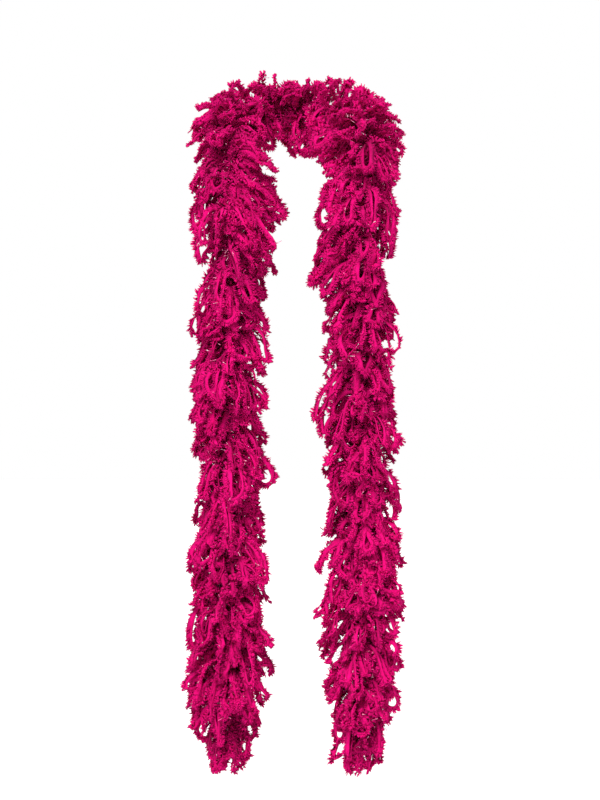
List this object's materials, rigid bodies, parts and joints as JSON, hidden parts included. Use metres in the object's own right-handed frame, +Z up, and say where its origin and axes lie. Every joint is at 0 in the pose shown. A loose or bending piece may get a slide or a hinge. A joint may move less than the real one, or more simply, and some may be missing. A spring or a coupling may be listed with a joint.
{
  "type": "boa",
  "caption": "Long fluffy costume boa worn round the neck: a plied cord with a deep pile of looped fringe yarn, both ends hanging free in front.",
  "frame": {"origin": "on the neck's axis, level with the cord behind the neck, where the boa rests on the wearer", "axes": "+Z up, +X across the shoulders to the right as seen from the front, -Y to the wearer's front"},
  "size_m": [0.2744, 0.2679, 0.9149],
  "materials": {
    "pile_yarn": "matte fringe yarn",
    "tinsel": "bright metallised film, cut into fine filaments",
    "core_cord": "plied cord",
    "binding_thread": "smooth thread"
  },
  "bodies": {
    "neck": {"neck_core_cord": "core_cord", "neck_pile_01": "pile_yarn", "neck_pile_02": "pile_yarn", "neck_pile_03": "pile_yarn", "neck_pile_04": "pile_yarn", "neck_pile_05": "pile_yarn", "neck_pile_06": "pile_yarn", "neck_pile_07": "pile_yarn", "neck_pile_08": "pile_yarn", "neck_pile_09": "pile_yarn", "neck_pile_10": "pile_yarn", "neck_pile_11": "pile_yarn", "neck_pile_12": "pile_yarn"},
    "left_upper": {"left_upper_core_cord": "core_cord", "left_upper_pile_1": "pile_yarn", "left_upper_pile_2": "pile_yarn", "left_upper_pile_3": "pile_yarn", "left_upper_pile_4": "pile_yarn"},
    "left_middle": {"left_middle_core_cord": "core_cord", "left_middle_pile_1": "pile_yarn", "left_middle_pile_2": "pile_yarn", "left_middle_pile_3": "pile_yarn", "left_middle_pile_4": "pile_yarn"},
    "left_lower": {"left_lower_core_cord": "core_cord", "left_lower_pile_1": "pile_yarn", "left_lower_pile_2": "pile_yarn", "left_lower_pile_3": "pile_yarn", "left_lower_pile_4": "pile_yarn", "left_tip_pile": "pile_yarn", "left_end_whipping": "binding_thread", "left_end_knot": "core_cord"},
    "right_upper": {"right_upper_core_cord": "core_cord", "right_upper_pile_1": "pile_yarn", "right_upper_pile_2": "pile_yarn", "right_upper_pile_3": "pile_yarn", "right_upper_pile_4": "pile_yarn"},
    "right_middle": {"right_middle_core_cord": "core_cord", "right_middle_pile_1": "pile_yarn", "right_middle_pile_2": "pile_yarn", "right_middle_pile_3": "pile_yarn", "right_middle_pile_4": "pile_yarn"},
    "right_lower": {"right_lower_core_cord": "core_cord", "right_lower_pile_1": "pile_yarn", "right_lower_pile_2": "pile_yarn", "right_lower_pile_3": "pile_yarn", "right_lower_pile_4": "pile_yarn", "right_tip_pile": "pile_yarn", "right_end_whipping": "binding_thread", "right_end_knot": "core_cord"}
  },
  "joints": [
    {"name": "left_sway", "type": "hinge", "parent": "neck", "child": "left_upper", "pos_m": [-0.087, -0.086, -0.2043], "axis": [0, 1, 0], "range_deg": [-2, 60]},
    {"name": "left_swing", "type": "hinge", "parent": "left_upper", "child": "left_middle", "pos_m": [-0.087, -0.086, -0.4133], "axis": [-1, 0, 0], "range_deg": [-45, 60]},
    {"name": "left_curl", "type": "hinge", "parent": "left_middle", "child": "left_lower", "pos_m": [-0.087, -0.086, -0.6223], "axis": [-1, 0, 0], "range_deg": [-45, 60]},
    {"name": "right_sway", "type": "hinge", "parent": "neck", "child": "right_upper", "pos_m": [0.087, -0.086, -0.2043], "axis": [0, -1, 0], "range_deg": [-2, 60]},
    {"name": "right_swing", "type": "hinge", "parent": "right_upper", "child": "right_middle", "pos_m": [0.087, -0.086, -0.4133], "axis": [-1, 0, 0], "range_deg": [-45, 60]},
    {"name": "right_curl", "type": "hinge", "parent": "right_middle", "child": "right_lower", "pos_m": [0.087, -0.086, -0.6223], "axis": [-1, 0, 0], "range_deg": [-45, 60]}
  ]
}
